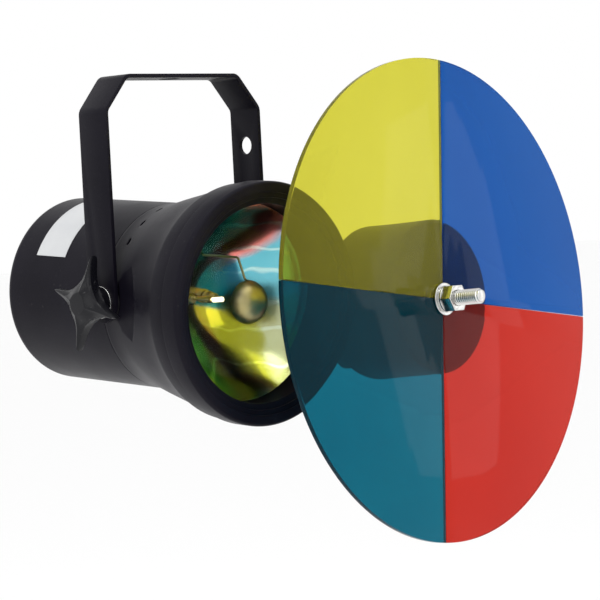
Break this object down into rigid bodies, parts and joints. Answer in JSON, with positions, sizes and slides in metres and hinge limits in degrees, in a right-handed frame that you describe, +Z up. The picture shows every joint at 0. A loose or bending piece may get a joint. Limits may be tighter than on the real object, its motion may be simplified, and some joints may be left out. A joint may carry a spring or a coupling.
{
  "type": "pinspot stage light with colour wheel",
  "caption": "Round spotlight in a strap yoke, with a bracket and motor that turn a disc of coloured panels in front of its beam.",
  "frame": {"origin": "centre of the hanging hole, on the top face of the yoke's bar", "axes": "+Z up along the hanging bolt, the lamp shines towards -Y, and the tilt axis lies along X with the colour wheel on the +X side"},
  "size_m": [0.297, 0.2129, 0.2498],
  "materials": {
    "black_coat": "satin black powder coat",
    "label_foil": "blank satin foil label",
    "zinc_steel": "bright zinc plate",
    "black_screw": "black oxide",
    "lamp_mirror": "aluminised inside of the pressed bowl",
    "lamp_glass": "clear pressed glass",
    "shield_metal": "satin nickel, heat tinted",
    "filament_wire": "coiled tungsten wire",
    "gasket_rubber": "dull black moulded plastic",
    "knob_plastic": "glossy black moulded plastic",
    "core_plates": "varnished steel plates",
    "winding_copper": "enamelled copper wire",
    "block_plastic": "off-white nylon",
    "lead_cover": "silicone covered wire",
    "gear_plastic": "white acetal",
    "magnet": "sintered ferrite ring with a moulded pinion",
    "brass_turned": "turned brass",
    "blue_acrylic": "glossy tinted acrylic",
    "yellow_acrylic": "glossy tinted acrylic",
    "teal_acrylic": "glossy tinted acrylic",
    "red_acrylic": "glossy tinted acrylic"
  },
  "bodies": {
    "yoke": {"yoke_strap": "black_coat"},
    "head": {"front_housing": "black_coat", "rear_can": "black_coat", "rating_label": "label_foil", "front_ring": "black_coat", "ring_screws": "black_screw", "lamp_reflector": "lamp_mirror", "lamp_lens": "lamp_glass", "filament_shield": "shield_metal", "filament": "filament_wire", "filament_supports": "shield_metal", "lamp_terminals": "shield_metal", "lamp_gasket": "gasket_rubber", "lamp_seat": "black_coat", "hinge_bosses": "zinc_steel", "pad_washers": "gasket_rubber", "transformer_core": "core_plates", "transformer_coil": "winding_copper", "transformer_clamp": "zinc_steel", "clamp_screws": "zinc_steel", "wiring_shelf": "black_coat", "terminal_block": "block_plastic", "cable_gland": "gasket_rubber", "gland_locknut": "gasket_rubber", "lamp_leads": "lead_cover", "supply_leads": "lead_cover"},
    "near_knob": {"knob_near": "knob_plastic", "knob_stud_near": "zinc_steel", "knob_washer_near": "zinc_steel"},
    "far_knob": {"knob_far": "knob_plastic", "knob_stud_far": "zinc_steel", "knob_washer_far": "zinc_steel"},
    "arm": {"wheel_arm": "black_coat", "arm_washer": "zinc_steel", "motor_screws": "zinc_steel", "motor_cup": "black_coat", "motor_base": "zinc_steel", "motor_cord_bushing": "gasket_rubber", "shaft_bush": "brass_turned", "motor_stator": "zinc_steel", "motor_winding": "winding_copper", "gear_plate": "zinc_steel", "plate_posts": "brass_turned", "gear_pins": "zinc_steel"},
    "wheel": {"drive_shaft": "zinc_steel", "last_gear": "gear_plastic", "sector_blue": "blue_acrylic", "sector_yellow": "yellow_acrylic", "sector_teal": "teal_acrylic", "sector_red": "red_acrylic", "rear_washer": "zinc_steel", "rear_nut": "zinc_steel", "front_washer": "zinc_steel", "spring_washer": "zinc_steel", "hub_nut": "zinc_steel"},
    "rotor": {"rotor": "magnet"},
    "first_gear": {"first_gear": "gear_plastic"},
    "second_gear": {"second_gear": "gear_plastic"}
  },
  "joints": [
    {"name": "head_tilt", "type": "hinge", "parent": "yoke", "child": "head", "pos_m": [0, 0, -0.1132], "axis": [1, 0, 0], "range_deg": [-25, 90]},
    {"name": "arm_tilt", "type": "hinge", "parent": "head", "child": "arm", "pos_m": [0, 0, -0.1132], "axis": [1, 0, 0], "range_deg": [-10, 10]},
    {"name": "near_knob_turn", "type": "hinge", "parent": "head", "child": "near_knob", "pos_m": [0, 0, -0.1132], "axis": [1, 0, 0], "range_deg": [0, 360]},
    {"name": "far_knob_turn", "type": "hinge", "parent": "head", "child": "far_knob", "pos_m": [0, 0, -0.1132], "axis": [1, 0, 0], "range_deg": [0, 360]},
    {"name": "wheel_spin", "type": "hinge", "parent": "arm", "child": "wheel", "pos_m": [0.103, -0.08501, -0.12204], "axis": [0.1089, -0.9926, 0.0546], "continuous": true},
    {"name": "second_gear_spin", "type": "hinge", "parent": "arm", "child": "second_gear", "pos_m": [0.11561, -0.08272, -0.10541], "axis": [0.1089, -0.9926, 0.0546], "continuous": true},
    {"name": "first_gear_spin", "type": "hinge", "parent": "arm", "child": "first_gear", "pos_m": [0.12945, -0.08179, -0.11608], "axis": [0.1089, -0.9926, 0.0546], "continuous": true},
    {"name": "rotor_spin", "type": "hinge", "parent": "arm", "child": "rotor", "pos_m": [0.11264, -0.08387, -0.1205], "axis": [0.1089, -0.9926, 0.0546], "continuous": true}
  ],
  "couplings": [
    {"joint": "second_gear_spin", "follows": "wheel_spin", "ratio": -5},
    {"joint": "first_gear_spin", "follows": "wheel_spin", "ratio": 20},
    {"joint": "rotor_spin", "follows": "wheel_spin", "ratio": -80}
  ]
}
